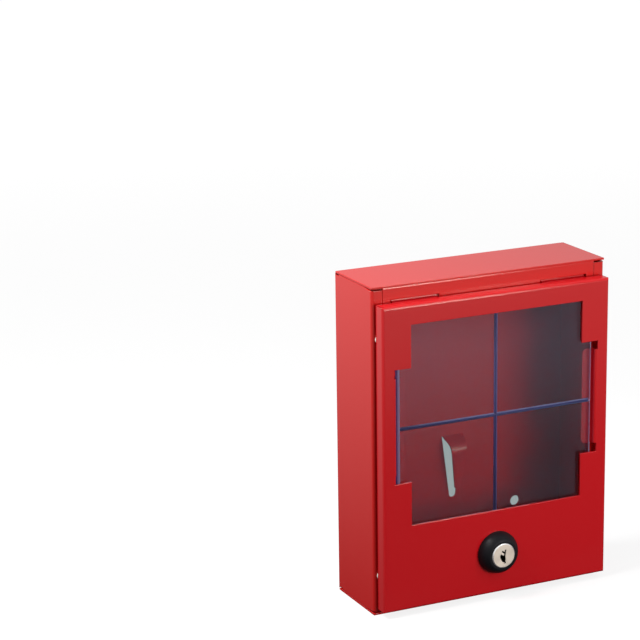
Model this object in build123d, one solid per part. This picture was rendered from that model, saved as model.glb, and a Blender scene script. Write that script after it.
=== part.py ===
from build123d import *
import os
from itertools import product
from math import cos, pi, radians, sin, sqrt

# Break glass key box: a folded steel case, a folded steel door that hangs on two hook tabs in the
# case's lintel, a scored pane held behind the door's window, and a wafer cam lock.
# Units are millimetres, +Z is up and the front faces -Y. The origin is under the middle of the
# base, half way between the lock's front and the case's back.

# ---- case: driving sizes ----
sheet = 1.0                 # steel sheet of the case and the door
case_width = 140.0
case_depth = 44.0
case_height = 180.0
case_fold_inner = 0.6       # inside radius of the case's folds
rim_flange = 6.2            # return flanges down both sides of the front
sill_height = 9.0           # return flange along the bottom of the front
corner_seam = 0.25          # open joint between two folded walls
rim_flange_gap = 1.0        # open gap above and below each side return flange
relief_length = 4.0         # relief hole where a seam meets the back fold
corner_gap_length = 13.0    # the seam opens towards the front over this length
fixing_hole = 5.8           # diameter of the wall fixing holes
fixing_spacing_x = 80.0
fixing_spacing_z = 120.0
fixing_base_z = 34.0        # lower pair above the base

# ---- spring tongue lanced out of the back wall ----
tongue_root_z = 79.0
tongue_slot_length = 36.5
tongue_slot_root = 13.4     # slot width at the root
tongue_slot_tip = 4.3       # slot width at the round end
tongue_kerf = 0.4           # metal lost all round the tongue
tongue_stand = 8.75         # how far the bend of the tongue stands off the wall
tongue_return = 2.75        # how much nearer to the wall its free end is again
tongue_drop = 4.1           # height over which it comes forward
tongue_neck = 0.3           # flat length below the root
tongue_root_fold = 1.8      # fold radii at the mid-plane
tongue_fold = 6.0

# ---- door: driving sizes ----
door_gap = 1.3              # between the door's flange and the case's rim
door_depth = 7.4
door_fold_inner = 0.5       # inside radius of the door's folds
door_side_inset = 1.8
door_top_drop = 9.0         # from the top of the case down to the top of the door
door_bottom_rise = 3.4
mitre_seam = 0.25           # open joint at each corner of the door

# ---- hook tabs and their slots: the hinge ----
tab_width = 26.5
tab_side_clearance = 1.0
slot_margin = 4.8           # lintel between a slot and the side return flange
hook_clearance = 0.25       # hook to the front and back of the lintel
pivot_clearance = 0.1       # hook to the edge it turns on
slot_headroom = 1.4         # slot above the tab
lintel_web = 3.4            # lintel left below the slots
hook_lip = 4.5              # lip standing up behind the lintel, above the pivot

# ---- window, its side notches and the pane ----
window_side_margin = 16.55  # door's side to the window
window_top_margin = 10.8
window_above_lock = 23.5    # lock axis to the window's lower edge
notch_side_margin = 6.6     # door's side to a notch
notch_rise = 24.0           # window's lower edge to the notches
notch_height = 62.5
pane_tab_relief = 4.75      # notch left open above and below each pane tab
pane_tab_fold_inner = 0.5
pane_tab_lip = 6.4          # lip turned in behind the pane
pane_tab_lip_corner = 2.5
pane_thickness = 3.0
pane_lap = 6.0              # pane hidden above and below the window
pane_arris = 1.0            # ground off the pane's front edges
pane_left_gap = 1.1         # the pane stands nearer the left tab
pane_right_gap = 1.7
pane_clearance = 0.05       # pane to the sheet in front and the lips behind
score_width = 2.0
score_depth = 0.9
score_drop = 1.65           # level score line below the middle of the window

# ---- buffers between door and rim ----
buffer_diameter = 4.2       # flush with the side of the door
buffer_margin = 18.8        # from the top or bottom of the door
buffer_squeeze = 0.05       # left between a buffer and the door

# ---- lock: driving sizes ----
lock_height = 27.0          # lock axis above the base
bezel_base = 23.4
bezel_lip = 1.35            # bezel's front ring round the plug's head
bezel_height = 7.0
bezel_foot = 1.3            # upright edge at the foot of the bezel
bezel_round = 0.5           # round on its front edge
barrel_diameter = 18.0
barrel_flats = 15.6
lock_hole_clearance = 0.15
plug_head = 13.7
plug_head_height = 1.6
plug_proud = 0.5
plug_chamfer = 0.45
plug_diameter = 10.8
running_fit = 0.05          # radial, plug in barrel
spigot_shoulder = 0.45      # from the plug's outline to the corners of its square end
square_clearance = 0.05     # each side
nut_flats = 22.0
nut_height = 3.0
nut_chamfer = 1.0
thread_clearance = 0.05
tooth_washer_rim = 1.35
tooth_washer_height = 0.8
tooth_count = 18
tooth_depth = 1.4
cam_engagement = 4.5        # cam behind the sill when it is turned down
cam_root_radius = 8.5
cam_width = 11.0
cam_height = 1.6
cam_clearance = 0.5         # cam to the back of the sill
end_float = 0.05            # between the stacked pieces at the plug's end
stop_washer_height = 0.8
stop_tab_width = 2.1
stop_tab_height = 1.1
stop_tab_angle = 30.0
stop_play_angle = 1.5
turn_angle = 90.0           # the plug's travel
screw_diameter = 4.0
screw_length = 5.0
screw_head_diameter = 8.0
screw_head_height = 2.4
screw_washer_diameter = 9.0
screw_washer_height = 0.8
driver_slot = 0.9

# ---- wafers and their springs ----
wafer_count = 5
wafer_first = 2.4           # behind the shoulder of the plug's head
wafer_back_wall = 0.4       # last wafer to the tapped hole
wafer_thickness = 1.0
wafer_clearance = 0.05
wafer_window_width = 4.2
wafer_window_height = 6.4
wafer_end_clearance = 0.2   # wafer ends inside the plug's outline
ear_reach = 1.3             # ear that the spring pushes on
ear_height = 0.9
ear_top = 1.5
spring_pocket_width = 1.4
spring_pocket_depth = 1.3
spring_pocket_wall = 0.45   # metal left outside a spring pocket
spring_wire = 0.22
spring_diameter = 1.1       # outer
spring_length = 3.0
spring_turns = 5
groove_side_clearance = 0.2
groove_depth = 0.9          # grooves in the barrel where the wafers bolt the plug

# ---- keyway, as seen from the front: (x, z) along its middle from the lock axis ----
keyway_line = ((1.1, 3.4), (0.7, 1.3), (0.5, 0.2), (0.4, -1.6), (0.5, -3.0), (0.9, -4.6))
keyway_branch = ((-1.1, 2.8), (0.7, 1.3))
keyway_gap = 0.9
keyway_belly = ((0.4, 0.1), (-0.5, 0.3), (-1.0, 0.6), (-1.7, 1.1), (-2.4, 0.1), (-2.0, -1.4),
                (-1.2, -3.0), (-0.1, -3.8), (0.9, -3.6), (1.1, -1.8), (0.9, -0.3))

# ---- derived positions ----
case_fold = case_fold_inner + sheet                 # outer radii of the folds
door_fold = door_fold_inner + sheet
pane_tab_fold = pane_tab_fold_inner + sheet
door_stand = door_gap + door_depth                  # door face in front of the rim
overall_depth = case_depth + door_stand + bezel_height + plug_proud
back_y = overall_depth / 2                          # wall side of the case
rim_y = back_y - case_depth                         # front of the case
face_y = rim_y - door_stand                         # front of the door
door_back_y = rim_y - door_gap
side_x = case_width / 2
opening_x = side_x - rim_flange
door_x = side_x - door_side_inset
door_top = case_height - door_top_drop

hook_fold = sheet / 2 + hook_clearance + sheet      # outer radius, turning about the lintel's middle
pivot_y = rim_y + sheet / 2
pivot_z = door_top - sheet + hook_fold
slot_bottom = pivot_z - hook_fold - pivot_clearance
slot_top = door_top + slot_headroom
lintel_bottom = slot_bottom - lintel_web
slot_half_width = tab_width / 2 + tab_side_clearance
tab_offset = opening_x - slot_margin - slot_half_width

window_x = door_x - window_side_margin
window_bottom = lock_height + window_above_lock
window_top = door_top - window_top_margin
notch_x = door_x - notch_side_margin
notch_bottom = window_bottom + notch_rise
notch_top = notch_bottom + notch_height
pane_tab_x = notch_x - pane_tab_fold                # inner wall of a pane tab
pane_front = face_y + sheet + pane_clearance
pane_back = pane_front + pane_thickness
pane_bottom = window_bottom - pane_lap
pane_top = window_top + pane_lap
pane_left = -pane_tab_x + pane_left_gap
pane_right = pane_tab_x - pane_right_gap
score_height = (window_bottom + window_top) / 2 - score_drop

buffer_x = door_x - buffer_diameter / 2

barrel_radius = barrel_diameter / 2
plug_radius = plug_diameter / 2
bore_radius = plug_radius + running_fit
head_bore_radius = plug_head / 2 + running_fit
spigot = 2 * (plug_radius - spigot_shoulder) / sqrt(2)
bezel_front_y = face_y - bezel_height
plug_front_y = bezel_front_y - plug_proud
plug_shoulder_y = plug_front_y + plug_head_height
cam_front_y = rim_y + sheet + cam_clearance
stop_washer_y = cam_front_y - end_float - stop_washer_height
stop_washer_radius = bore_radius + running_fit + stop_tab_width
barrel_end_y = stop_washer_y - end_float
cam_back_y = cam_front_y + cam_height
cam_reach = lock_height - sill_height + cam_engagement
spigot_end_y = cam_back_y - end_float
tapped_end_y = spigot_end_y - screw_length - end_float

spring_bottom = ear_top - ear_height - spring_length - wafer_clearance
pocket_x = sqrt(plug_radius ** 2 - spring_bottom ** 2) - spring_pocket_wall
spring_x = pocket_x - spring_pocket_width / 2
wafer_width = 2 * (pocket_x - spring_pocket_width - wafer_clearance)
wafer_start_y = plug_shoulder_y + wafer_first
wafer_end_y = tapped_end_y - wafer_back_wall
wafer_pitch = (wafer_end_y - wafer_thickness - wafer_start_y) / (wafer_count - 1)
wafer_places = [wafer_start_y + i * wafer_pitch for i in range(wafer_count)]


def block(x0, x1, y0, y1, z0, z1):
    """A box between two opposite corners, given in either order."""
    size = (abs(x1 - x0), abs(y1 - y0), abs(z1 - z0))
    return Pos((x0 + x1) / 2, (y0 + y1) / 2, (z0 + z1) / 2) * Box(*size)


def folded(plane, points, bend, width):
    """Sheet folded along mid-plane points, with the outer bend radius, `width` along the folds."""
    path = FilletPolyline(*points, radius=bend - sheet / 2)
    return extrude(plane * trace(path, line_width=sheet), amount=width / 2, both=True)


def lock_plane(y):
    """Plane across the lock axis at depth y, seen from the front: x to the right, y up, facing -Y."""
    return Plane(origin=(0, y, lock_height), x_dir=(1, 0, 0), z_dir=(0, -1, 0))


def lock_slab(shape, y0, y1):
    """A flat shape drawn across the lock axis, made solid from y0 back to y1."""
    return extrude(lock_plane(y1) * shape, amount=y1 - y0)


def lock_disc(radius, y0, y1):
    return lock_slab(Circle(radius), y0, y1)


def sector(radius, start, span):
    """A pie slice with its point on the lock axis; angles run counter-clockwise from the right."""
    half = radius / cos(radians(span / 4))
    rim = [(half * cos(radians(start + span * k / 2)), half * sin(radians(start + span * k / 2)))
           for k in range(3)]
    return make_face(Polyline((0, 0), *rim, close=True))


def double_d(diameter, flats):
    """Round with two flats, left and right: the barrel and the hole that keeps it from turning."""
    return Circle(diameter / 2) & Rectangle(flats, diameter)


# ---- case ----
def tapered_outline(root_z, root_width, bend_z, bend_width, tip_z, tip_width):
    """Tapering strip in (x, z) with a round lower end, as a flat shape."""
    r = tip_width / 2
    right = Polyline((r, tip_z + r), (bend_width / 2, bend_z), (root_width / 2, root_z))
    top = Line((root_width / 2, root_z), (-root_width / 2, root_z))
    left = Polyline((-root_width / 2, root_z), (-bend_width / 2, bend_z), (-r, tip_z + r))
    end = ThreePointArc((-r, tip_z + r), (0, tip_z), (r, tip_z + r))
    return make_face(Curve() + [right, top, left, end])


def back_plane():
    return Plane(origin=(0, back_y, 0), x_dir=(1, 0, 0), z_dir=(0, -1, 0))


def tongue_slot():
    """Hole that the tongue was lanced from, cut right through the back wall."""
    neck_width = tongue_slot_root - (tongue_slot_root - tongue_slot_tip) * tongue_neck / tongue_slot_length
    outline = tapered_outline(tongue_root_z, tongue_slot_root, tongue_root_z - tongue_neck, neck_width,
                              tongue_root_z - tongue_slot_length, tongue_slot_tip)
    return extrude(back_plane() * outline, amount=2 * sheet, both=True)


def spring_tongue():
    """Tongue that comes forward from the back wall, bends down and returns towards it, as long as
    its slot allows."""
    wall = back_y - sheet / 2
    slope = sqrt(tongue_stand ** 2 + tongue_drop ** 2)
    length = tongue_slot_length - 2 * tongue_kerf
    bend_z = tongue_root_z - tongue_neck - tongue_drop
    tip_z = bend_z - sqrt((length - tongue_neck - slope) ** 2 - tongue_return ** 2)
    points = ((wall, tongue_root_z + sheet), (wall, tongue_root_z - tongue_neck),
              (wall - tongue_stand, bend_z), (wall - tongue_stand + tongue_return, tip_z))
    path = FilletPolyline(*points, radius=(tongue_root_fold, tongue_fold))
    strip = extrude(Plane.YZ * trace(path, line_width=sheet), amount=tongue_slot_root / 2, both=True)
    root_width = tongue_slot_root - 2 * tongue_kerf
    tip_width = tongue_slot_tip - 2 * tongue_kerf
    bend_width = root_width - (root_width - tip_width) * (tongue_neck + slope) / length
    outline = tapered_outline(tongue_root_z, root_width, bend_z, bend_width, tip_z, tip_width)
    return strip & extrude(back_plane() * outline, amount=tongue_stand + 2 * sheet)


def case_corner_cuts(side):
    """At both ends of one side wall: the relief hole at the back and the gap that opens to the front."""
    outer, inner = side * (side_x + sheet), side * (side_x - 2 * sheet)
    fold_start = back_y - case_fold
    cuts = []
    for z, inward in ((case_height - sheet, -1), (sheet, 1)):
        end_z = z + inward * rim_flange_gap
        cuts.append(block(outer, inner, fold_start - relief_length, fold_start, z, end_z))
        cuts.append(block(outer, side * opening_x, rim_y - sheet, rim_y + case_fold, z, end_z))
        taper = make_face(Polyline((rim_y, z), (rim_y + corner_gap_length, z), (rim_y, end_z), close=True))
        cuts.append(extrude(Plane.YZ.offset(inner) * taper, amount=outer - inner))
    return cuts


def case_shell():
    """Five walls folded from one sheet, with return flanges round the front and open corner seams."""
    wall_y, front_y = back_y - sheet / 2, rim_y + sheet / 2
    wall_x, top_z, base_z = side_x - sheet / 2, case_height - sheet / 2, sheet / 2
    side_wrap = ((-opening_x, front_y), (-wall_x, front_y), (-wall_x, wall_y),
                 (wall_x, wall_y), (wall_x, front_y), (opening_x, front_y))
    side_height = case_height - 2 * (sheet + corner_seam)
    shell = folded(Plane.XY.offset(case_height / 2), side_wrap, case_fold, side_height)
    front_wrap = ((front_y, lintel_bottom), (front_y, top_z), (wall_y, top_z),
                  (wall_y, base_z), (front_y, base_z), (front_y, sill_height))
    shell += folded(Plane.YZ, front_wrap, case_fold, 2 * (opening_x - corner_seam))
    for z, inward in ((top_z, -1), (base_z, 1)):
        back_fold = ((rim_y, z), (wall_y, z), (wall_y, z + inward * 2 * case_fold))
        shell += folded(Plane.YZ, back_fold, case_fold, 2 * (side_x - case_fold))
        shell += block(-side_x, side_x, rim_y, back_y - case_fold, z - sheet / 2, z + sheet / 2)
    for side in (-1, 1):
        for cut in case_corner_cuts(side):
            shell -= cut
        middle = side * tab_offset
        shell -= block(middle - slot_half_width, middle + slot_half_width,
                       rim_y - sheet, rim_y + 2 * sheet, slot_bottom, slot_top)
    shell -= tongue_slot()
    shell += spring_tongue()
    for x, z in product((-fixing_spacing_x / 2, fixing_spacing_x / 2),
                        (fixing_base_z, fixing_base_z + fixing_spacing_z)):
        hole = Pos(x, z) * Circle(fixing_hole / 2)
        shell -= extrude(back_plane() * hole, amount=2 * sheet, both=True)
    return shell


def door_buffer(side, height):
    """Round rubber foot stuck to the rim, under the door's side flange."""
    plane = Plane(origin=(side * buffer_x, rim_y, height), x_dir=(1, 0, 0), z_dir=(0, -1, 0))
    pad = extrude(plane * Circle(buffer_diameter / 2), amount=door_gap - buffer_squeeze)
    return fillet(pad.edges().sort_by(Axis.Y)[0], door_gap / 4)


# ---- door ----
def door_tray():
    """Face sheet with a flange folded back on all four sides, mitred at the corners."""
    outer = block(-door_x, door_x, face_y, door_back_y, door_bottom_rise, door_top)
    outer = fillet(outer.faces().sort_by(Axis.Y)[0].edges(), door_fold)
    inner = block(-door_x + sheet, door_x - sheet, face_y + sheet, door_back_y + sheet,
                  door_bottom_rise + sheet, door_top - sheet)
    inner = fillet(inner.faces().sort_by(Axis.Y)[0].edges(), door_fold - sheet)
    tray = outer - inner
    cut_depth = door_depth - door_fold + sheet
    seam = Box(mitre_seam, cut_depth, 6 * sheet)
    seam_y = door_back_y + sheet - cut_depth / 2
    for side in (-1, 1):
        tray -= Pos(side * door_x, seam_y, door_top) * Rot(0, side * 45, 0) * seam
        tray -= Pos(side * door_x, seam_y, door_bottom_rise) * Rot(0, -side * 45, 0) * seam
    return tray


def hook_tab(side):
    """Tab from the door's top flange through the lintel's slot, turned up behind it."""
    lip_y = pivot_y + hook_fold - sheet / 2
    tab_z = door_top - sheet / 2
    points = ((door_back_y - sheet, tab_z), (lip_y, tab_z), (lip_y, pivot_z + hook_lip))
    return Pos(side * tab_offset, 0, 0) * folded(Plane.YZ, points, hook_fold, tab_width)


def pane_tab(side):
    """Tab folded back from the notch, with its lip turned in behind the pane."""
    wall_x = side * (pane_tab_x + sheet / 2)
    lip_y = pane_back + pane_clearance + sheet / 2
    points = ((side * (notch_x + sheet), face_y + sheet / 2), (wall_x, face_y + sheet / 2),
              (wall_x, lip_y), (side * (pane_tab_x - pane_tab_lip), lip_y))
    height = notch_top - notch_bottom - 2 * pane_tab_relief
    tab = folded(Plane.XY.offset((notch_top + notch_bottom) / 2), points, pane_tab_fold, height)
    lip_edges = tab.edges().filter_by(Axis.Y)
    ends = sorted(lip_edges, key=lambda e: abs(e.center().X))[:2]
    return fillet(ends, pane_tab_lip_corner)


def door_panel():
    tray = door_tray()
    through = (face_y - sheet, face_y + 2 * sheet)
    tray -= block(-window_x, window_x, *through, window_bottom, window_top)
    tray -= block(-notch_x, notch_x, *through, notch_bottom, notch_top)
    hole = double_d(barrel_diameter + 2 * lock_hole_clearance, barrel_flats + 2 * lock_hole_clearance)
    tray -= lock_slab(hole, *through)
    for side in (-1, 1):
        tray += pane_tab(side)
        tray += hook_tab(side)
    return tray


def scored_pane():
    """Brittle pane with a V score across and down its back."""
    pane = block(pane_left, pane_right, pane_front, pane_back, pane_bottom, pane_top)
    pane = chamfer(pane.faces().sort_by(Axis.Y)[0].edges(), pane_arris)
    vee = [(-score_width / 2, 0), (score_width / 2, 0), (0, -score_depth)]
    upright = Plane(origin=(0, pane_back, pane_bottom), x_dir=(1, 0, 0), z_dir=(0, 0, 1))
    pane -= extrude(upright * make_face(Polyline(*vee, close=True)), amount=pane_top - pane_bottom)
    level = Plane(origin=(pane_left, pane_back, score_height), x_dir=(0, 0, -1), z_dir=(1, 0, 0))
    pane -= extrude(level * make_face(Polyline(*vee, close=True)), amount=pane_right - pane_left)
    return pane


# ---- lock ----
def lock_housing():
    """Domed bezel and flatted barrel in one casting, bored for the plug."""
    foot, front = bezel_base / 2, head_bore_radius + bezel_lip
    side = ThreePointArc((foot, -bezel_foot),
                         ((foot + front) / 2 + bezel_height / 10, -(bezel_height + bezel_foot) / 2),
                         (front, -bezel_height))
    outline = Curve() + [Line((0, 0), (foot, 0)), Line((foot, 0), (foot, -bezel_foot)), side,
                         Line((front, -bezel_height), (0, -bezel_height)), Line((0, -bezel_height), (0, 0))]
    dome = revolve(make_face(outline), Axis.Y)
    dome = fillet(dome.edges().sort_by(Axis.Y)[0], bezel_round)
    housing = Pos(0, face_y, lock_height) * dome
    housing += lock_slab(double_d(barrel_diameter, barrel_flats), face_y, barrel_end_y)
    housing -= lock_disc(bore_radius, bezel_front_y, barrel_end_y)
    housing -= lock_disc(head_bore_radius, bezel_front_y, plug_shoulder_y + running_fit)
    groove_reach = 2 * (bore_radius + groove_depth)
    groove_width = wafer_width + 2 * groove_side_clearance
    for size in ((groove_reach, groove_width), (groove_width, groove_reach)):
        housing -= lock_slab(Rectangle(*size), wafer_start_y - wafer_clearance,
                             wafer_end_y + wafer_clearance)
    stop_start = 90 - turn_angle - stop_tab_angle / 2 - stop_play_angle
    stop_span = turn_angle + stop_tab_angle + 2 * stop_play_angle
    stop = sector(barrel_diameter, stop_start, stop_span)
    housing -= lock_slab(stop, barrel_end_y - stop_tab_height - end_float, barrel_end_y)
    return housing


def lock_tooth_washer():
    """Spring washer with teeth inside the nut's face."""
    inner = barrel_radius + thread_clearance
    tooth_width = pi * inner / tooth_count
    ring = Circle(inner + tooth_depth + tooth_washer_rim) - Circle(inner)
    gap = Pos(inner, 0) * Rectangle(2 * tooth_depth, tooth_width)
    for i in range(tooth_count):
        ring -= Rot(0, 0, i * 360 / tooth_count) * gap
    y0 = face_y + sheet
    return lock_slab(ring, y0, y0 + tooth_washer_height)


def lock_nut():
    y0 = face_y + sheet + tooth_washer_height
    hexagon = RegularPolygon(nut_flats / 2, 6, major_radius=False)
    nut = lock_slab(hexagon, y0, y0 + nut_height)
    corner = nut_flats / 2 / cos(radians(30))
    cone = Cone(corner + nut_chamfer, corner - nut_chamfer / 2, nut_height)
    nut &= Pos(0, y0 + nut_height / 2, lock_height) * Rot(-90, 0, 0) * cone
    return nut - lock_disc(barrel_radius + thread_clearance, y0, y0 + nut_height)


def keyway():
    """Crooked keyway with one side branch and a wide belly, as a flat shape."""
    shape = make_face(Polyline(*keyway_belly, close=True))
    for line in (keyway_line, keyway_branch):
        shape += trace(Polyline(*line), line_width=keyway_gap)
    for point in keyway_line[1:-1]:
        shape += Pos(*point) * Circle(keyway_gap / 2)
    return shape


def spring_pocket(width, clearance):
    """Pocket beside a wafer: the ear's travel above, the spring below."""
    x0 = wafer_width / 2
    z0, z1 = spring_bottom - clearance, ear_top + clearance
    return Pos(x0 + width / 2, (z0 + z1) / 2) * Rectangle(width, z1 - z0)


def lock_plug():
    """Plug with its head, wafer slots, crooked keyway and square end, tapped for the cam screw."""
    plug = lock_disc(plug_head / 2, plug_front_y, plug_shoulder_y)
    plug = chamfer(plug.edges().sort_by(Axis.Y)[0], plug_chamfer)
    plug += lock_disc(plug_radius, plug_shoulder_y, barrel_end_y)
    plug += lock_slab(Rectangle(spigot, spigot), barrel_end_y, spigot_end_y)
    plug -= lock_slab(keyway(), plug_front_y, wafer_end_y)
    for y in wafer_places:
        y0, y1 = y - wafer_clearance, y + wafer_thickness + wafer_clearance
        plug -= lock_slab(Rectangle(wafer_width + 2 * wafer_clearance, plug_diameter), y0, y1)
        middle = (y0 + y1) / 2
        pocket = spring_pocket(spring_pocket_width + wafer_clearance, wafer_clearance)
        plug -= lock_slab(pocket, middle - spring_pocket_depth / 2, middle + spring_pocket_depth / 2)
    tapped = lock_disc(screw_diameter / 2 + thread_clearance, tapped_end_y, spigot_end_y)
    return plug - tapped


def wafer(y):
    """Flat tumbler with a key window and an ear for its spring."""
    outline = Rectangle(wafer_width, plug_diameter) & Circle(plug_radius - wafer_end_clearance)
    outline -= Rectangle(wafer_window_width, wafer_window_height)
    ear = Pos(wafer_width / 2 + ear_reach / 2, ear_top - ear_height / 2) * Rectangle(ear_reach, ear_height)
    return lock_slab(outline + ear, y, y + wafer_thickness)


def wafer_spring(y):
    """Coil spring that lifts one wafer by its ear."""
    radius = (spring_diameter - spring_wire) / 2
    height = spring_length - spring_wire - 2 * wafer_clearance
    path = Helix(pitch=height / spring_turns, height=height, radius=radius)
    section = Plane(origin=path @ 0, z_dir=path % 0) * Circle(spring_wire / 2)
    coil = sweep(section, path=path, is_frenet=True)
    middle = y + wafer_thickness / 2
    foot = lock_height + spring_bottom + wafer_clearance + spring_wire / 2
    return Pos(spring_x, middle, foot) * coil


def square_hole():
    side = spigot + 2 * square_clearance
    return Rectangle(side, side)


def stop_washer():
    """Washer on the plug's square, with a tab that runs in the barrel's cut and ends the turn."""
    y1 = stop_washer_y + stop_washer_height
    washer = lock_slab(Circle(stop_washer_radius) - square_hole(), stop_washer_y, y1)
    ring = Circle(stop_washer_radius) - Circle(bore_radius + running_fit)
    tab = ring & sector(barrel_diameter, 90 - stop_tab_angle / 2, stop_tab_angle)
    return washer + lock_slab(tab, barrel_end_y - stop_tab_height, stop_washer_y)


def lock_cam():
    """Flat cam on the plug's square: it points right when open and turns down behind the sill."""
    arm = Pos((cam_reach - cam_width / 2) / 2, 0) * Rectangle(cam_reach - cam_width / 2, cam_width)
    tip = Pos(cam_reach - cam_width / 2, 0) * Circle(cam_width / 2)
    outline = arm + tip + Circle(cam_root_radius) - square_hole()
    return lock_slab(outline, cam_front_y, cam_back_y)


def cam_washer():
    ring = Circle(screw_washer_diameter / 2) - Circle(screw_diameter / 2 + thread_clearance)
    return lock_slab(ring, cam_back_y, cam_back_y + screw_washer_height)


def cam_screw():
    """Slotted cheese head screw into the plug's end."""
    head_y = cam_back_y + screw_washer_height
    screw = lock_disc(screw_diameter / 2, spigot_end_y - screw_length, head_y)
    head = lock_disc(screw_head_diameter / 2, head_y, head_y + screw_head_height)
    head = fillet(head.edges().sort_by(Axis.Y)[-1], screw_head_height / 6)
    slot = Rectangle(driver_slot, screw_head_diameter)
    return screw + head - lock_slab(slot, head_y + screw_head_height / 2, head_y + screw_head_height)


nodes = {"case_shell": case_shell(), "door_panel": door_panel(), "scored_pane": scored_pane(),
         "lock_housing": lock_housing(), "lock_tooth_washer": lock_tooth_washer(),
         "lock_nut": lock_nut(), "lock_plug": lock_plug(), "stop_washer": stop_washer(),
         "lock_cam": lock_cam(), "cam_washer": cam_washer(), "cam_screw": cam_screw()}
for side, side_name in ((-1, "left"), (1, "right")):
    nodes[f"door_buffer_lower_{side_name}"] = door_buffer(side, door_bottom_rise + buffer_margin)
    nodes[f"door_buffer_upper_{side_name}"] = door_buffer(side, door_top - buffer_margin)
for number, slot_y in enumerate(wafer_places, start=1):
    nodes[f"wafer_{number}"] = wafer(slot_y)
    nodes[f"wafer_spring_{number}"] = wafer_spring(slot_y)

os.makedirs("parts", exist_ok=True)
for name, solid in nodes.items():
    solid.label = name
    export_step(solid, f"parts/{name}.step")
print(f"{len(nodes)} nodes; pivot y {pivot_y:.2f} z {pivot_z:.2f}; cam reach {cam_reach:.2f};",
      f"back {back_y:.2f} rim {rim_y:.2f} face {face_y:.2f} front {plug_front_y:.2f}")
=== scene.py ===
# %% [markdown]
# # A break glass key box
# A shallow red steel box hangs on a wall and keeps one key behind a pane that anyone may
# break. The door hangs on two hooked tabs in the lintel of the case and is held shut by a
# small cam lock.
# The folded steel, the pane and the lock come ready as solids, in metres, in their right
# places. This lesson gives them their finishes, makes the screw thread on the barrel of the
# lock, and sets up the floor, the lamps and the camera.

# %% Load the solids
from math import cos, pi, radians, sin

import bpy
import numpy as np
from mathutils import Matrix, Vector


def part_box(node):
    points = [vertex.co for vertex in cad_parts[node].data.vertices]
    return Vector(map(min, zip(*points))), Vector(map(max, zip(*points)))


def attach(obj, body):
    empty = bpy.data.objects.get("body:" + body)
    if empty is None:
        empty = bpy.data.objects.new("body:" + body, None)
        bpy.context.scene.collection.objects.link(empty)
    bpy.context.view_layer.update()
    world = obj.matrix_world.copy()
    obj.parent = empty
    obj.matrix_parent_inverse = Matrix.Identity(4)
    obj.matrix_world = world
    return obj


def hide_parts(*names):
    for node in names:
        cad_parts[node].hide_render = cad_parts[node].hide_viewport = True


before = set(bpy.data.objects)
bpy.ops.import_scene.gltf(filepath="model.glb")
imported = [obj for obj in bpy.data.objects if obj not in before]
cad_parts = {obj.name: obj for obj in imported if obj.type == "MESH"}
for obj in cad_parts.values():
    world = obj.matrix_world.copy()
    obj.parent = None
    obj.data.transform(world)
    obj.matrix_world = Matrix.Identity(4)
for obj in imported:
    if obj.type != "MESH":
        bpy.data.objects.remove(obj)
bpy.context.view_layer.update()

# %% [markdown]
# ## Where things are
# Finishes and new pieces need a few places on the box. They are read from the solids' own
# boxes, or written here in metres: the axis of the lock runs from front to back, half way
# between the sides and 27 mm above the base, and the level cut in the pane is 103.7 mm
# above the base.

# %% Places on the box
MM = 0.001
LOCK_HEIGHT = 27.0 * MM
SCORE_HEIGHT = 103.7 * MM
barrel_front, barrel_back = (corner.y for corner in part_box("lock_housing"))
pane_low, pane_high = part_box("scored_pane")
print(f"lock from y {barrel_front / MM:.1f} to {barrel_back / MM:.1f} mm,",
      f"pane {1000 * (pane_high.x - pane_low.x):.1f} mm wide")

# %% [markdown]
# ## Surfaces from numbers
# The new pieces are surfaces worked out with numpy. Each is a grid of points: one
# direction of the grid follows a profile and the other carries it along a path, so whole
# arrays give every point at once. `grid_mesh` joins neighbours into quads, and where a
# direction comes back to its start, it also joins the last row to the first.

# %% Helper that turns a grid of points into a piece
def grid_mesh(name, points, close_rows, close_columns, sharp=40):
    """Quads between neighbours of a rows x columns x 3 array, smooth but for sharp edges."""
    rows, columns = points.shape[:2]
    here = np.arange(rows * columns).reshape(rows, columns)
    down, across = np.roll(here, -1, 0), np.roll(here, -1, 1)
    quads = np.stack([here, across, np.roll(down, -1, 1), down], -1)
    quads = quads[:rows if close_rows else rows - 1, :columns if close_columns else columns - 1]
    mesh = bpy.data.meshes.new(name)
    mesh.from_pydata(points.reshape(-1, 3).tolist(), [], quads.reshape(-1, 4).tolist())
    mesh.polygons.foreach_set("use_smooth", np.ones(len(mesh.polygons), bool))
    mesh.set_sharp_from_angle(angle=radians(sharp))
    piece = bpy.data.objects.new(name, mesh)
    bpy.context.scene.collection.objects.link(piece)
    print(name, "has", len(mesh.polygons), "faces")
    return piece


# %% [markdown]
# ## Writing node trees in few lines
# A finish in Blender is a tree of nodes. Setting one up by hand takes a line for each
# socket, so four small helpers do the repeated part: `fill` sets one socket, `put` adds a
# node and fills its sockets by name, `maths` adds a Math node, and `blend_colours` mixes two
# colours by a mask.

# %% Helpers for node trees
def fill(tree, socket, value):
    """Link an output to a socket, or write a plain value into it."""
    if isinstance(value, bpy.types.NodeSocket):
        tree.links.new(value, socket)
    else:
        socket.default_value = value


def put(tree, kind, settings=(), **sockets):
    """Add a node; settings are its own properties, and sockets are filled by name."""
    made = tree.nodes.new(kind)
    for name, value in dict(settings).items():
        setattr(made, name, value)
    for name, value in sockets.items():
        fill(tree, made.inputs[name.replace("_", " ")], value)
    return made


def maths(tree, operation, *values, clamp=False):
    """Add a Math node and give its output."""
    made = tree.nodes.new("ShaderNodeMath")
    made.operation, made.use_clamp = operation, clamp
    for socket, value in zip(made.inputs, values):
        fill(tree, socket, value)
    return made.outputs[0]


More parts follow.
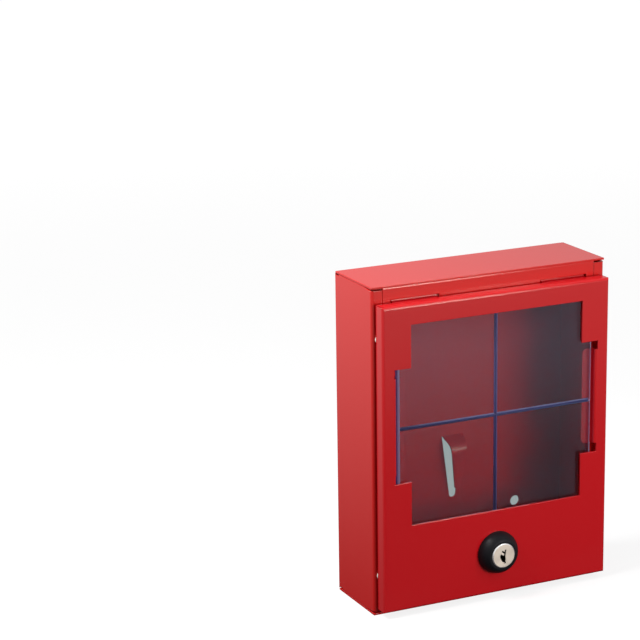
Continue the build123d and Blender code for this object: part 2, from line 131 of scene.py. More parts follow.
def blend_colours(tree, mask, first, second):
    """Mix two colours: the first where the mask is 0 and the second where it is 1."""
    made = tree.nodes.new("ShaderNodeMix")
    made.data_type = "RGBA"
    for index, value in ((0, mask), (6, first), (7, second)):
        fill(tree, made.inputs[index], value)
    return made.outputs[2]


# %% [markdown]
# ## Effects that several finishes share
# An effect that more than one finish uses is built once, as a node group, and each finish
# sets its own numbers on it. `new_group` makes an empty group with its sockets, and
# `dot_product` compares two directions, which the first group needs.

# %% Helpers for groups
def new_group(name, inputs, outputs):
    """An empty node group with sockets of the given kinds; inputs also have a start value."""
    tree = bpy.data.node_groups.new(name, "ShaderNodeTree")
    for label, kind, value in inputs:
        made = tree.interface.new_socket(label, in_out="INPUT", socket_type="NodeSocket" + kind)
        made.default_value = value
    for label, kind in outputs:
        tree.interface.new_socket(label, in_out="OUTPUT", socket_type="NodeSocket" + kind)
    return tree, tree.nodes.new("NodeGroupInput").outputs, tree.nodes.new("NodeGroupOutput")


def dot_product(tree, first, second):
    """The cosine of the angle between two directions."""
    made = tree.nodes.new("ShaderNodeVectorMath")
    made.operation = "DOT_PRODUCT"
    fill(tree, made.inputs[0], first)
    fill(tree, made.inputs[1], second)
    return made.outputs["Value"]


# %% [markdown]
# ## Soft edges
# The solids have sharp edges where sheet metal is sheared, but paint and plating round them
# off by a few tenths of a millimetre. Cutting such a round into every edge would need many
# small faces. The Bevel node only turns the surface's direction near an edge as the round
# would, and that is enough at this size. How far it turns also says how near the edge is,
# and that is the edge mask.

# %% The group for soft edges
soft_edges, given, result = new_group(
    "soft_edges", [("Radius", "Float", 0.3 * MM)], [("Normal", "Vector"), ("Edge", "Float")])
rounded = put(soft_edges, "ShaderNodeBevel", {"samples": 6}, Radius=given["Radius"]).outputs[0]
straight = put(soft_edges, "ShaderNodeNewGeometry").outputs["Normal"]
alike = dot_product(soft_edges, rounded, straight)
turned = maths(soft_edges, "SUBTRACT", 1.0, alike)
fill(soft_edges, result.inputs["Normal"], rounded)
fill(soft_edges, result.inputs["Edge"], maths(soft_edges, "MULTIPLY", turned, 5.0, clamp=True))
print("group", soft_edges.name)

# %% [markdown]
# ## Orange peel and drift
# Baked paint never lies quite flat: it has low waves, a millimetre or two apart, like the
# skin of an orange. And no finish has the same tone all over. Both come from noise on the
# piece's own coordinates, so they stay with the piece when it moves. The peel is a height,
# which the finish feeds to a Bump node, and the drift is a value about zero.

# %% The groups for orange peel and for drift
def own_places(tree):
    """Places on the piece itself, in metres."""
    return put(tree, "ShaderNodeTexCoord").outputs["Object"]


orange_peel, given, result = new_group(
    "orange_peel", [("Waves per metre", "Float", 600.0)], [("Height", "Float")])
wide = put(orange_peel, "ShaderNodeTexNoise", Vector=own_places(orange_peel),
           Scale=given["Waves per metre"], Detail=1.0, Roughness=0.4).outputs[0]
fine_scale = maths(orange_peel, "MULTIPLY", given["Waves per metre"], 3.1)
fine = put(orange_peel, "ShaderNodeTexNoise", Vector=own_places(orange_peel),
           Scale=fine_scale, Detail=1.0, Roughness=0.5).outputs[0]
fill(orange_peel, result.inputs["Height"],
     maths(orange_peel, "MULTIPLY_ADD", fine, 0.25, wide))

tone_drift, given, result = new_group(
    "tone_drift", [("Patches per metre", "Float", 12.0), ("Reach", "Float", 0.1)],
    [("Drift", "Float")])
cloud = put(tone_drift, "ShaderNodeTexNoise", Vector=own_places(tone_drift),
            Scale=given["Patches per metre"], Detail=3.0, Roughness=0.55).outputs[0]
about_zero = maths(tone_drift, "SUBTRACT", cloud, 0.5)
fill(tone_drift, result.inputs["Drift"],
     maths(tone_drift, "MULTIPLY", about_zero, given["Reach"]))
print("groups", orange_peel.name, "and", tone_drift.name)

# %% [markdown]
# ## A frame for every finish
# Each finish below is one Principled shader on its own tree. `new_finish` makes the pair,
# and the plain numbers, which are the same all over the piece, are written straight on the
# shader's sockets. `use` places a shared group, and `set_finish` puts the finish on solids.

# %% Helpers for finishes
def new_finish(name, **plain):
    """A material with one Principled shader; plain values go straight on its sockets."""
    finish = bpy.data.materials.new(name)
    finish.use_nodes = True
    tree = finish.node_tree
    shader = tree.nodes["Principled BSDF"]
    for label, value in plain.items():
        shader.inputs[label.replace("_", " ")].default_value = value
    return finish, tree, shader.inputs


def use(tree, group, **sockets):
    """Place a shared group in a finish and give its outputs."""
    return put(tree, "ShaderNodeGroup", {"node_tree": group}, **sockets).outputs


def set_finish(finish, *names):
    """Give a finish to every slot of these solids."""
    for name in names:
        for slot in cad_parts[name].material_slots:
            slot.material = finish
    print(finish.name, "on", len(names), "pieces")


# %% [markdown]
# ## The red paint
# The case and the door are sprayed with gloss red powder paint and baked. The colour is
# even, but it drifts a little, and it has low orange peel. Along the edges it is lighter and
# pinker: partly paint that draws back from the sheared edges, partly a painted highlight on
# the folds. The gloss does the rest: seen at a flat angle the paint mirrors the pale room and
# turns pink, which the shader's own Fresnel gives. Seen head on, the mirror image is a little
# warm, and that is the Specular Tint.

# %% Red paint
def red_paint(name, colour, patches):
    """Gloss paint of a colour that drifts, in so many patches per metre, to a deeper tone."""
    finish, tree, shader = new_finish(name, IOR=1.45, Specular_Tint=(1.0, 0.95, 0.84, 1.0))
    edges = use(tree, soft_edges, Radius=0.45 * MM)
    peel = use(tree, orange_peel, Waves_per_metre=520.0)["Height"]
    drift = use(tree, tone_drift, Patches_per_metre=patches, Reach=0.5)["Drift"]
    deep = (colour[0] * 0.86, colour[1] * 0.75, colour[2] * 0.8, 1)
    body = blend_colours(tree, maths(tree, "ADD", drift, 0.35, clamp=True), (*colour, 1), deep)
    # lighter, pinker edge colour: thinner paint there and a painted highlight on the folds
    thin_edge_and_highlight = (min(1, colour[0] * 1.25), colour[1] * 3.5, colour[2] * 3.0, 1)
    edge = maths(tree, "MULTIPLY", edges["Edge"], 0.45)
    fill(tree, shader["Base Color"], blend_colours(tree, edge, body, thin_edge_and_highlight))
    fill(tree, shader["Roughness"], maths(tree, "MULTIPLY_ADD", drift, 0.12, 0.16))
    bump = put(tree, "ShaderNodeBump", Strength=0.02, Distance=0.10 * MM, Height=peel,
               Normal=edges["Normal"])
    fill(tree, shader["Normal"], bump.outputs[0])
    return finish


set_finish(red_paint("case_paint", (0.60, 0.008, 0.008), 9.0), "case_shell")
set_finish(red_paint("door_paint", (0.56, 0.007, 0.012), 11.0), "door_panel")

# %% [markdown]
# ## The pane
# The pane is brittle tinted sheet, 3 mm thick, with a V cut across and down its back so
# that it snaps into four. It is clear but grey, so that the room inside looks dim, and
# hands leave faint smears that change its roughness a little. Lamps shine through the
# pane, which a ray for shadows would not do by itself, and so `lit_through` lets those rays
# meet a Transparent shader instead.

# %% The clear sheet
def lit_through(tree, colour):
    """Rays that look for a lamp pass through the finish and take this colour on the way."""
    whole = tree.nodes.new("ShaderNodeMixShader")
    fill(tree, whole.inputs[0], put(tree, "ShaderNodeLightPath").outputs["Is Shadow Ray"])
    fill(tree, whole.inputs[1], tree.nodes["Principled BSDF"].outputs[0])
    fill(tree, whole.inputs[2], put(tree, "ShaderNodeBsdfTransparent", Color=colour).outputs[0])
    fill(tree, tree.nodes["Material Output"].inputs["Surface"], whole.outputs[0])


finish, tree, shader = new_finish("clear_sheet", Transmission_Weight=1.0, IOR=1.59,
                                  Specular_Tint=(0.75, 0.75, 1.0, 1.0))
smears = use(tree, tone_drift, Patches_per_metre=35.0, Reach=0.02)["Drift"]
tint = blend_colours(tree, maths(tree, "ADD", smears, 0.3), (0.42, 0.495, 0.50, 1),
                     (0.39, 0.465, 0.475, 1))
fill(tree, shader["Base Color"], tint)
fill(tree, shader["Roughness"], maths(tree, "ADD", smears, 0.02, clamp=True))
lit_through(tree, (0.84, 0.85, 0.86, 1))
set_finish(finish, "scored_pane")

# %% [markdown]
# ## The sawn edges and the cuts
# Where the sheet is sawn or cut it is frosted, and the light that runs inside the sheet
# comes out there as blue. A perfect V in glass would only act as a mirror, so the frosted
# skin is a piece of its own: a thin layer just under the surface of the sheet. One runs
# round the four edges and over the small chamfer at their front, and one lies in each cut.

# %% The skin's thickness and depth
UNDER, SKIN = 0.03 * MM, 0.04 * MM
CHAMFER = 1.0 * MM
CUT_HALF, CUT_DEPTH = 1.0 * MM, 0.9 * MM


def frosted(piece):
    """Give the skin its thickness and let it move with the door."""
    thick = piece.modifiers.new("skin", "SOLIDIFY")
    thick.thickness, thick.offset = SKIN, 0.0
    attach(piece, "door")
    return piece


print("skins", SKIN / MM, "mm thick, their middle", UNDER / MM, "mm under the surface")

# %% [markdown]
# ## Round the edges
# The sawn edges and the chamfer at their front are one skin, carried once round the sheet.
# The sheet is an oblong, so four corners are all the path that it needs.

# %% The skin of the sawn edges
def edge_skin():
    """Profile: in along the chamfer, then back along the edge. It is carried round the sheet's
    four corners, and at each point the sheet's half sizes shrink by the profile's inset."""
    inset = np.array([CHAMFER + UNDER, UNDER, UNDER])
    deep = pane_low.y + np.array([UNDER, CHAMFER + UNDER, pane_high.y - pane_low.y - UNDER])
    corners = np.array([(-1, -1), (1, -1), (1, 1), (-1, 1)])[:, None]
    middle = np.array([(pane_low.x + pane_high.x) / 2, (pane_low.z + pane_high.z) / 2])
    half = np.array([pane_high.x - pane_low.x, pane_high.z - pane_low.z]) / 2
    flat = middle + corners * (half - inset[None, :, None])
    return np.stack([flat[..., 0], np.broadcast_to(deep, flat.shape[:2]), flat[..., 1]], -1)


sawn_edges = frosted(grid_mesh("pane_sawn_edges", edge_skin(), True, False))

# %% [markdown]
# ## Along each cut
# A cut is a straight V, so its skin needs only two rows of three points, one at each end.
# The two cuts differ in where they start and end and in which way is sideways.

# %% The skins of the cuts
def cut_skin(start, end, sideways):
    """Profile: a V with its point towards the front, just inside the sheet, carried in a straight
    line from start to end."""
    reach = CUT_HALF + 2 * UNDER
    across = np.array([-reach, 0, reach])[None, :, None] * np.array(sideways)
    forward = np.array([UNDER, CUT_DEPTH + 2 * UNDER, UNDER])[None, :, None] * np.array((0, -1, 0))
    ends = np.array([start, end])[:, None]
    return ends + across + forward


upright_grid = cut_skin((0, pane_high.y, pane_low.z + CHAMFER),
                        (0, pane_high.y, pane_high.z - CHAMFER), (1, 0, 0))
level_grid = cut_skin((pane_low.x + CHAMFER, pane_high.y, SCORE_HEIGHT),
                      (pane_high.x - CHAMFER, pane_high.y, SCORE_HEIGHT), (0, 0, 1))
upright_cut = frosted(grid_mesh("pane_upright_cut", upright_grid, False, False))
level_cut = frosted(grid_mesh("pane_level_cut", level_grid, False, False))

# %% [markdown]
# ## Frosted blue
# Light that comes in through the face of the sheet runs along inside it, loses its red on
# the way and leaves at the frosted places. To follow every such ray would take very long,
# so the finish is a matt blue that glows a little instead, painted light in place of those
# rays, speckled by small chips. The sawn edge is paler on the right, where the sheet is lit,
# and darker on the left, which is painted light and shade, and each cut is darkest along its
# point.

# %% The frosted finish
CORE_HALF = 0.35 * MM


def frosted_blue(name, left, right, glow, core=None, centre=0.0, axis="X", fringe=None):
    """Matt blue that changes from left to right; on the sawn edge that is painted shade on the
    left and painted light on the right. A cut also has a darker core along its middle, and may
    have a paler fringe on its far side."""
    finish, tree, shader = new_finish(name, Roughness=0.6, IOR=1.3, Emission_Strength=glow)
    split = put(tree, "ShaderNodeSeparateXYZ", Vector=own_places(tree)).outputs
    to_right = maths(tree, "MULTIPLY_ADD", split["X"], 1 / (pane_high.x - pane_low.x), 0.5,
                     clamp=True)
    chips = use(tree, tone_drift, Patches_per_metre=900.0, Reach=0.5)["Drift"]
    # from left to right: on the sawn edge, painted shade on the left and painted light on the
    # right
    colour = blend_colours(tree, maths(tree, "ADD", to_right, chips, clamp=True), left, right)
    if core:
        away = maths(tree, "ABSOLUTE", maths(tree, "SUBTRACT", split[axis], centre))
        rim = maths(tree, "MULTIPLY_ADD", away, 1 / CORE_HALF, -1.0, clamp=True)
        colour = blend_colours(tree, rim, core, colour)
        if fringe:
            above = maths(tree, "MULTIPLY", rim, maths(tree, "GREATER_THAN", split[axis], centre))
            colour = blend_colours(tree, above, colour, fringe)
    else:
        behind = maths(tree, "MULTIPLY_ADD", split["Y"], 1 / CHAMFER,
                       -pane_low.y / CHAMFER - 0.6, clamp=True)
        colour = blend_colours(tree, behind, (0.24, 0.16, 0.27, 1), colour)
    fill(tree, shader["Base Color"], colour)
    # painted light: the blue glows by its own emission
    fill(tree, shader["Emission Color"], colour)
    lit_through(tree, (0.75, 0.75, 0.85, 1))
    return finish


sawn_edges.data.materials.append(
    frosted_blue("sawn_sheet", (0.08, 0.08, 0.28, 1), (0.60, 0.46, 0.72, 1), 0.3))
upright_cut.data.materials.append(
    frosted_blue("cut_sheet_upright", (0.10, 0.09, 0.30, 1), (0.10, 0.09, 0.30, 1), 0.05,
                 core=(0.03, 0.02, 0.10, 1)))
level_cut.data.materials.append(
    frosted_blue("cut_sheet_level", (0.14, 0.10, 0.24, 1), (0.07, 0.11, 0.28, 1), 0.05,
                 core=(0.03, 0.03, 0.13, 1), centre=SCORE_HEIGHT, axis="Z",
                 fringe=(0.20, 0.17, 0.32, 1)))
print("frosted finishes on 3 skins")

# %% [markdown]
# ## The face of the plug
# The plug is nickel plated and its face was turned on a lathe. The narrow bevel round the
# face is smoother, and its colour is whiter and brighter, a painted highlight. Behind the face,
# in the keyway, the colour is almost black, a painted shade. All of it is round the lock's axis,
# so the finish needs to know how far a point is from that axis and how deep it lies.

# %% Painted highlight on the bevel, painted shade in the keyway
PLUG_BEVEL = 6.3 * MM


def from_lock_axis(tree):
    """Distance from the lock's axis: the root of x squared plus height over it squared."""
    split = put(tree, "ShaderNodeSeparateXYZ", Vector=own_places(tree)).outputs
    up = maths(tree, "SUBTRACT", split["Z"], LOCK_HEIGHT)
    square = maths(tree, "MULTIPLY_ADD", split["X"], split["X"], maths(tree, "MULTIPLY", up, up))
    return maths(tree, "SQRT", square)


def worked_plug(tree, body, rough):
    """Colour and roughness of the plug: almost black, a painted shade, between the face and the
    barrel's end, and a whiter colour, a painted highlight, and smoother outside the bevel's inner
    radius."""
    split = put(tree, "ShaderNodeSeparateXYZ", Vector=own_places(tree)).outputs
    depth = maths(tree, "SUBTRACT", split["Y"], barrel_front)
    inside = maths(tree, "MULTIPLY", maths(tree, "GREATER_THAN", depth, 0.0),
                   maths(tree, "LESS_THAN", split["Y"], barrel_back))
    # painted shade: the plug is almost black inside the barrel and keyway
    body = blend_colours(tree, inside, body, (0.05, 0.035, 0.02, 1))
    bevel = maths(tree, "GREATER_THAN", from_lock_axis(tree), PLUG_BEVEL)
    # painted highlight: a whiter colour on the bevel
    body = blend_colours(tree, bevel, body, (0.97, 0.95, 0.94, 1))
    return body, maths(tree, "MULTIPLY_ADD", bevel, -0.12, rough, clamp=True)


print(f"bevel of the plug from {PLUG_BEVEL / MM:.1f} mm off the axis")

# %% [markdown]
# ## Plated and bare metal
# A lathe leaves fine rings about the lock's axis, and they catch the light as a sheen. They
# are far too fine to cut into a mesh, so they are a sine of the distance from the axis,
# used as a height. Metal that was stamped or cast gets the fine waves of the peel instead.

# %% Turned and plated metals
def metal(name, colour, dull, drift_reach, rings=0.0, plug=False):
    """Bare or plated metal: cloudy roughness, brighter edges, and turning rings, so many
    millimetres apart, if asked."""
    finish, tree, shader = new_finish(name, Metallic=1.0)
    edges = use(tree, soft_edges, Radius=0.15 * MM)
    drift = use(tree, tone_drift, Patches_per_metre=260.0, Reach=drift_reach)["Drift"]
    bright = tuple(min(1.0, c * 1.25) for c in colour) + (1,)
    dark = tuple(c * 0.8 for c in colour) + (1,)
    body = blend_colours(tree, maths(tree, "ADD", drift, 0.4, clamp=True), (*colour, 1), dark)
    body = blend_colours(tree, maths(tree, "MULTIPLY", edges["Edge"], 0.6), body, bright)
    rough = maths(tree, "ADD", drift, dull, clamp=True)
    if plug:
        body, rough = worked_plug(tree, body, rough)
    fill(tree, shader["Base Color"], body)
    fill(tree, shader["Roughness"], rough)
    if rings:
        turns = maths(tree, "MULTIPLY", from_lock_axis(tree), 2 * pi / (rings * MM))
        height = maths(tree, "SINE", turns)
    else:
        height = use(tree, orange_peel, Waves_per_metre=1800.0)["Height"]
    bump = put(tree, "ShaderNodeBump", Strength=0.25, Distance=0.01 * MM, Height=height,
               Normal=edges["Normal"])
    fill(tree, shader["Normal"], bump.outputs[0])
    return finish


# %% [markdown]
# ## Each metal in its place
# The nut, stop washer, cam, cam washer and screw are zinc plated, which is duller than
# nickel and a little blue and has a cloudy tone. Wafers are stamped from brass sheet, and
# their springs and the tooth washer are spring steel. The brass is given a dark colour, a
# painted shade of the keyway they sit in. The finishes differ only in colour, in how dull
# they are and in how far they drift, so one function makes them all.

# %% The metals on the lock
set_finish(metal("nickel_plate", (1.0, 0.87, 0.74), 0.48, 0.25, rings=0.22, plug=True),
           "lock_plug")
set_finish(metal("bright_zinc", (0.62, 0.64, 0.68), 0.36, 0.5), "lock_nut", "lock_cam",
           "stop_washer", "cam_washer", "cam_screw")
set_finish(metal("sprung_steel", (0.50, 0.50, 0.52), 0.3, 0.3), "lock_tooth_washer",
           *(f"wafer_spring_{i}" for i in range(1, 6)))
# painted shade: the brass colour is darkened for the keyway's shade
set_finish(metal("brass_darkened_as_shade", (0.20, 0.14, 0.06), 0.5, 0.3),
           *(f"wafer_{i}" for i in range(1, 6)))

# %% [markdown]
# ## Satin black
# The housing is cast zinc with a black coat. The coat is matt enough to spread the lamps
# over the dome as a broad grey bloom. It has the fine grain of powder paint, and it is
# thinner and greyer along edges.

# %% The black finish
housing_black, tree, shader = new_finish("housing_black", IOR=1.26)
edges = use(tree, soft_edges, Radius=0.12 * MM)
drift = use(tree, tone_drift, Patches_per_metre=150.0, Reach=0.2)["Drift"]
grain = use(tree, orange_peel, Waves_per_metre=2200.0)["Height"]
fill(tree, shader["Base Color"],
     blend_colours(tree, maths(tree, "MULTIPLY", edges["Edge"], 0.5),
                   (0.005, 0.005, 0.007, 1), (0.018, 0.017, 0.018, 1)))
fill(tree, shader["Roughness"], maths(tree, "ADD", drift, 0.48, clamp=True))
bump = put(tree, "ShaderNodeBump", Strength=0.3, Distance=0.02 * MM, Height=grain,
           Normal=edges["Normal"])
fill(tree, shader["Normal"], bump.outputs[0])
print("finish", housing_black.name)

# %% [markdown]
# ## The threaded housing
# The solid of the housing has a plain round barrel, but a real one is threaded for its nut
# and has two flats, so that it can't turn in the door. Painted on, a thread would vanish
# against the light, so it is cut for real, and the whole housing is one closed surface. Its
# profile runs back through the bore, forward along the outside and over the dome. It is
# carried round the axis, and on the barrel its radius also depends on the angle, which
# gives the helix and the flats. Over a part of the turn the barrel ends sooner: the tab of
# the stop washer runs in that step.

# %% Profile of the dome
FOOT, FOOT_HEIGHT, FRONT, HEIGHT = 11.7 * MM, 1.3 * MM, 8.25 * MM, 7.0 * MM
HEAD_BORE, LIP, BULGE = 6.9 * MM, 0.45 * MM, 0.7 * MM


def arc_through(start, middle, end, count):
    """Points on the circle through three points, evenly spaced by angle. The centre c solves
    2 (q - p) . c = |q| ** 2 - |p| ** 2 for two pairs of the points."""
    points = np.array([start, middle, end])
    squares = (points ** 2).sum(1)
    centre = np.linalg.solve(2 * (points[1:] - points[0]), squares[1:] - squares[0])
    offset = points - centre
    angle = np.unwrap(np.arctan2(offset[:, 1], offset[:, 0]))
    swept = np.linspace(angle[0], angle[2], count)
    return centre + np.hypot(*offset[0]) * np.stack([np.cos(swept), np.sin(swept)], 1)


def dome_profile():
    """Radius and height over the door: up the foot, along the arc, and round to the front by a
    quadratic curve whose middle point is the arc's own end."""
    middle = ((FOOT + FRONT) / 2 + BULGE, (FOOT_HEIGHT + HEIGHT) / 2)
    arc = arc_through((FOOT, FOOT_HEIGHT), middle, (FRONT, HEIGHT), 30)[:28]
    t = np.linspace(0, 1, 7)[1:, None]
    last = np.array([FRONT - LIP, HEIGHT])
    rounded = (1 - t) ** 2 * arc[-1] + 2 * t * (1 - t) * np.array([FRONT, HEIGHT]) + t ** 2 * last
    return np.vstack([[(FOOT, 0.0)], arc, rounded, [(HEAD_BORE, HEIGHT)]])


dome = dome_profile()
print("dome profile", len(dome), "points, widest", round(2000 * dome[:, 0].max(), 2), "mm")

# %% [markdown]
# ## Is it closed, and does it face outward?
# A closed surface has a volume, and the formula below gives it with a plus sign only if the
# faces look outward. So one number tests both, and it also says how much metal there is.

# %% Helper that measures the inside of a closed piece
def volume(piece):
    """Sum of a . (b x c) / 6 over the triangles; it is above zero where faces look outward."""
    mesh = piece.data
    mesh.calc_loop_triangles()
    corners = np.empty(3 * len(mesh.loop_triangles), int)
    mesh.loop_triangles.foreach_get("vertices", corners)
    places = np.empty(3 * len(mesh.vertices))
    mesh.vertices.foreach_get("co", places)
    a, b, c = places.reshape(-1, 3)[corners].reshape(-1, 3, 3).transpose(1, 0, 2)
    return (a * np.cross(b, c)).sum() / 6


# %% [markdown]
# ## The barrel
# The housing's grid has a row for each angle. The rows are evenly spaced, but at each side
# of the step for the stop washer two rows stand only 0.4 degrees apart, because the end of
# the barrel jumps back there. Columns along the barrel are about a sixth of the pitch
# apart, which is close enough to draw the flanks of the thread.

# %% The grid of the housing
BORE, HEAD_DEPTH = 5.45 * MM, 1.15 * MM
CREST, FLAT, END_BEVEL = 9.0 * MM, 7.8 * MM, 0.4 * MM
PITCH, GROOVE, RUN_OUT = 1.0 * MM, 0.5 * MM, 0.7 * MM
STOP_START, STOP_SPAN, STOP_DEPTH = radians(-16.5), radians(123.0), 1.15 * MM
STEP_WIDTH = radians(0.4)


def housing_grid():
    """Rows go round the axis, clockwise from the front. Columns run back along the bore, forward
    along the barrel and over the dome. The barrel's radius is the crest less a clipped triangle
    wave of distance / pitch - turns, and it never passes the flats or the bevel at the end."""
    angle = np.concatenate([np.linspace(0, STOP_SPAN, 66),
                            np.linspace(STOP_SPAN + STEP_WIDTH, 2 * pi - STEP_WIDTH, 126)])
    end = barrel_back - np.where(angle <= STOP_SPAN, STOP_DEPTH, 0.0)[:, None]
    angle = (angle + STOP_START)[:, None]
    door = barrel_front + HEIGHT
    y = end + (door - end) * np.linspace(0, 1, 112)
    wave = np.abs(2 * ((y / PITCH - angle / (2 * pi)) % 1.0) - 1)
    depth = GROOVE * np.clip(1.4 * wave - 0.2, 0, 1) * np.clip((y - door) / RUN_OUT - 0.6, 0, 1)
    radius = np.minimum(CREST - depth, FLAT / np.maximum(np.abs(np.cos(angle)), 1e-6))
    radius = np.minimum(radius, CREST - END_BEVEL + (end - y))
    bore = np.array([(HEAD_BORE, 0), (HEAD_BORE, HEAD_DEPTH), (BORE, HEAD_DEPTH)])
    rows = len(angle)
    r = np.hstack([np.tile(bore[:, 0], (rows, 1)), np.full((rows, 1), BORE), radius,
                   np.tile(dome[:-1, 0], (rows, 1))])
    y = np.hstack([np.tile(barrel_front + bore[:, 1], (rows, 1)), end, y,
                   np.tile(door - dome[:-1, 1], (rows, 1))])
    return np.stack([r * np.cos(angle), y, LOCK_HEIGHT + r * np.sin(angle)], -1)[::-1]


housing_points = housing_grid()
print("grid of", len(housing_points), "rows and", housing_points.shape[1], "columns")

# %% [markdown]
# ## The housing in its place
# Both directions of the grid come back to their start, so the surface is closed like a
# ring. It takes the place of the plain solid and moves with the door.

# %% The housing as one closed surface
housing = grid_mesh("threaded_housing", housing_points, True, True, sharp=32)
housing.data.materials.append(housing_black)
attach(housing, "door")
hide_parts("lock_housing")
print("metal in the housing", round(volume(housing) * 1e9), "cubic mm")

# %% [markdown]
# ## The buffers
# The four buffers that keep the door off the rim are soft milky polyurethane. Light goes
# into them and comes out scattered, and their domes are smooth but for dust that they catch.

# %% Milky polyurethane
milky, tree, shader = new_finish("milky_polyurethane", IOR=1.5, Subsurface_Weight=0.6,
                                 Subsurface_Radius=(1.0, 0.9, 0.8), Subsurface_Scale=0.8 * MM)
dust = use(tree, tone_drift, Patches_per_metre=700.0, Reach=0.6)["Drift"]
fill(tree, shader["Base Color"],
     blend_colours(tree, maths(tree, "ADD", dust, 0.3, clamp=True), (0.76, 0.73, 0.68, 1),
                   (0.60, 0.56, 0.50, 1)))
fill(tree, shader["Roughness"], maths(tree, "ADD", dust, 0.35, clamp=True))
edges = use(tree, soft_edges, Radius=0.2 * MM)
fill(tree, shader["Normal"], edges["Normal"])
set_finish(milky, *(f"door_buffer_{at}_{side}" for at in ("lower", "upper")
                    for side in ("left", "right")))

# %% [markdown]
# ## Rays that are seen
# The ground should look white while the lamps stay at a plain level. More light would wash
# out the red, so the floor and the world glow instead, but only for rays that reach the
# camera, directly or by mirror or glass. The Light Path node tells those rays from others,
# and has to stand in each material itself.

# %% Seen rays
def seen(tree, in_mirrors, in_glass):
    """1 for rays from the camera, other shares for rays off a glossy face or out of glass, and
    0 for any ray that a matt face has already scattered."""
    ray = put(tree, "ShaderNodeLightPath").outputs
    mirrored = maths(tree, "MULTIPLY", ray["Is Glossy Ray"], in_mirrors)
    through = maths(tree, "MULTIPLY", ray["Is Transmission Ray"], in_glass)
    share = maths(tree, "MAXIMUM", ray["Is Camera Ray"], maths(tree, "MAXIMUM", mirrored, through))
    return maths(tree, "MULTIPLY", share, maths(tree, "LESS_THAN", ray["Diffuse Depth"], 0.5))


# %% [markdown]
# ## The floor
# The box stands on a plain pale floor, a disc wide enough to fill every view. It takes the
# box's shadow as any matt floor does.

# %% The floor
FLOOR_REACH = 12.0
angles = np.linspace(0, 2 * pi, 65)[:-1]
ring = FLOOR_REACH * np.stack([np.cos(angles), np.sin(angles), 0 * angles], 1)
floor_mesh = bpy.data.meshes.new("floor")
floor_mesh.from_pydata(ring.tolist(), [], [list(range(len(ring)))])
floor = bpy.data.objects.new("floor", floor_mesh)
bpy.context.scene.collection.objects.link(floor)
print("floor", 2 * FLOOR_REACH, "m across")

# %% [markdown]
# ## Pale paper
# The floor glows a little more far away, where the lamps don't reach. In a mirror it glows
# less close to the box, and less in front of it than beside it: a painted shade in the floor,
# so that the walls are deeper red towards their feet.

# %% The paper of the floor
GLOW, FAR_GLOW = 0.82, 0.11
paper, tree, shader = new_finish("floor_paper", Roughness=0.9)
split = put(tree, "ShaderNodeSeparateXYZ", Vector=own_places(tree)).outputs
from_box = maths(tree, "SQRT", maths(tree, "MULTIPLY_ADD", split["X"], split["X"],
                                     maths(tree, "MULTIPLY", split["Y"], split["Y"])))
# painted shade: as mirrors see it, the floor glows less near the box and in front of it
near = maths(tree, "MULTIPLY_ADD", from_box, 1.25, -0.05)
in_front = maths(tree, "MULTIPLY_ADD", split["Y"], -10.0, -0.5, clamp=True)
less = maths(tree, "MULTIPLY_ADD", from_box, 0.4, -0.42)
in_mirrors = maths(tree, "MULTIPLY_ADD", in_front, less, near, clamp=True)
look = seen(tree, in_mirrors, 0.7)
fill(tree, shader["Base Color"],
     blend_colours(tree, look, (0.04, 0.04, 0.04, 1), (0.2, 0.2, 0.2, 1)))
far = maths(tree, "SUBTRACT", from_box, 0.4, clamp=True)
whiter = maths(tree, "MULTIPLY", far, put(tree, "ShaderNodeLightPath").outputs["Is Camera Ray"])
strength = maths(tree, "MULTIPLY_ADD", whiter, FAR_GLOW, maths(tree, "MULTIPLY", look, GLOW))
glow = put(tree, "ShaderNodeEmission", Color=(1, 1, 1, 1), Strength=strength).outputs[0]
both = tree.nodes.new("ShaderNodeAddShader")
fill(tree, both.inputs[0], tree.nodes["Principled BSDF"].outputs[0])
fill(tree, both.inputs[1], glow)
fill(tree, tree.nodes["Material Output"].inputs["Surface"], both.outputs[0])
floor.data.materials.append(paper)
print("finish", paper.name)

# %% [markdown]
# ## World and lamps
# The world is a plain white room. A large softbox hangs above the box on its left, so that
# its walls are brighter at the top than at the bottom. A small one stands low in front, a
# little to the right, and shines through the window on to the left of the back wall. A
# narrow strip higher on the right draws the long highlights on folds and on the tongue.

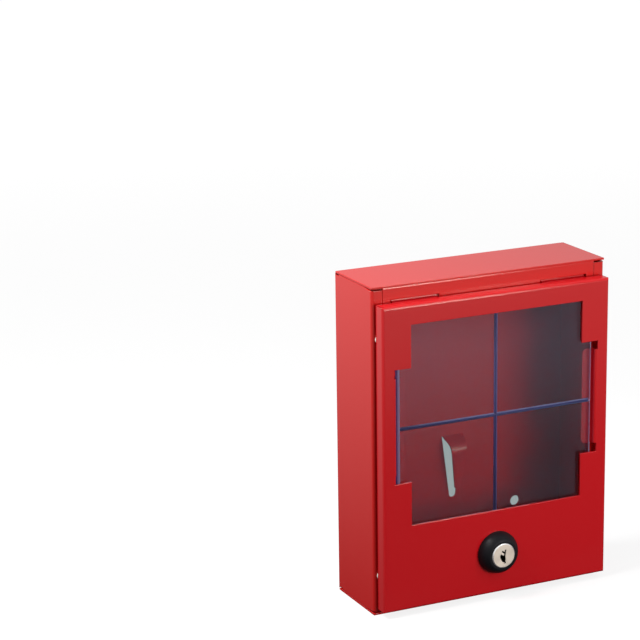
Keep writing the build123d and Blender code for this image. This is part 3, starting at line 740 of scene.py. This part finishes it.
# %% World and lamps
WORLD_LIGHT = 0.22
world = bpy.data.worlds.new("studio")
bpy.context.scene.world = world
world.use_nodes = True
tree = world.node_tree
level = maths(tree, "MULTIPLY_ADD", seen(tree, 0.5, 0.7), 1 - WORLD_LIGHT, WORLD_LIGHT)
fill(tree, tree.nodes["Background"].inputs["Color"], (1, 1, 1, 1))
fill(tree, tree.nodes["Background"].inputs["Strength"], level)


def softbox(name, place, size, power):
    """An oblong lamp, aimed at the middle of the box."""
    aim = Vector((0, 0, 0.12))
    lamp = bpy.data.lights.new(name, "AREA")
    lamp.shape, lamp.size, lamp.size_y, lamp.energy = "RECTANGLE", *size, power
    made = bpy.data.objects.new(name, lamp)
    made.location = place
    made.rotation_euler = (aim - made.location).to_track_quat("-Z", "Y").to_euler()
    bpy.context.scene.collection.objects.link(made)


softbox("top_softbox", (-0.40, 0.02, 0.60), (0.34, 0.34), 5.9)
softbox("front_softbox", (0.17, -0.57, 0.18), (0.24, 0.16), 2.0)
softbox("right_strip", (0.30, -0.52, 0.50), (0.08, 0.50), 0.9)

# %% [markdown]
# ## The camera
# A long lens stands a good metre away, a little above the box and to its left. The camera
# is placed by the point at the middle of its picture, its distance from there, and its
# azimuth, elevation and roll. Its three axes come from those angles as columns of a matrix.

# %% Camera
AIM, DISTANCE = Vector((-99.3, -13.9, 166.8)) * MM, 1168 * MM
azimuth, elevation, roll = radians(-25.10), radians(14.88), radians(-0.86)
back = Vector((sin(azimuth) * cos(elevation), -cos(azimuth) * cos(elevation), sin(elevation)))
right = Vector((cos(azimuth), sin(azimuth), 0))
up = back.cross(right)
across = cos(roll) * right + sin(roll) * up
upward = cos(roll) * up - sin(roll) * right
lens = bpy.data.cameras.new("camera")
lens.sensor_width, lens.lens = 36.0, 129.0
lens.clip_end = 60.0
camera = bpy.data.objects.new("camera", lens)
turn = Matrix((across, upward, back)).transposed().to_4x4()
camera.matrix_world = Matrix.Translation(AIM + DISTANCE * back) @ turn
bpy.context.scene.collection.objects.link(camera)
bpy.context.scene.camera = camera
bpy.context.scene.view_settings.view_transform = "Standard"
print("camera at", [round(c, 3) for c in camera.location])
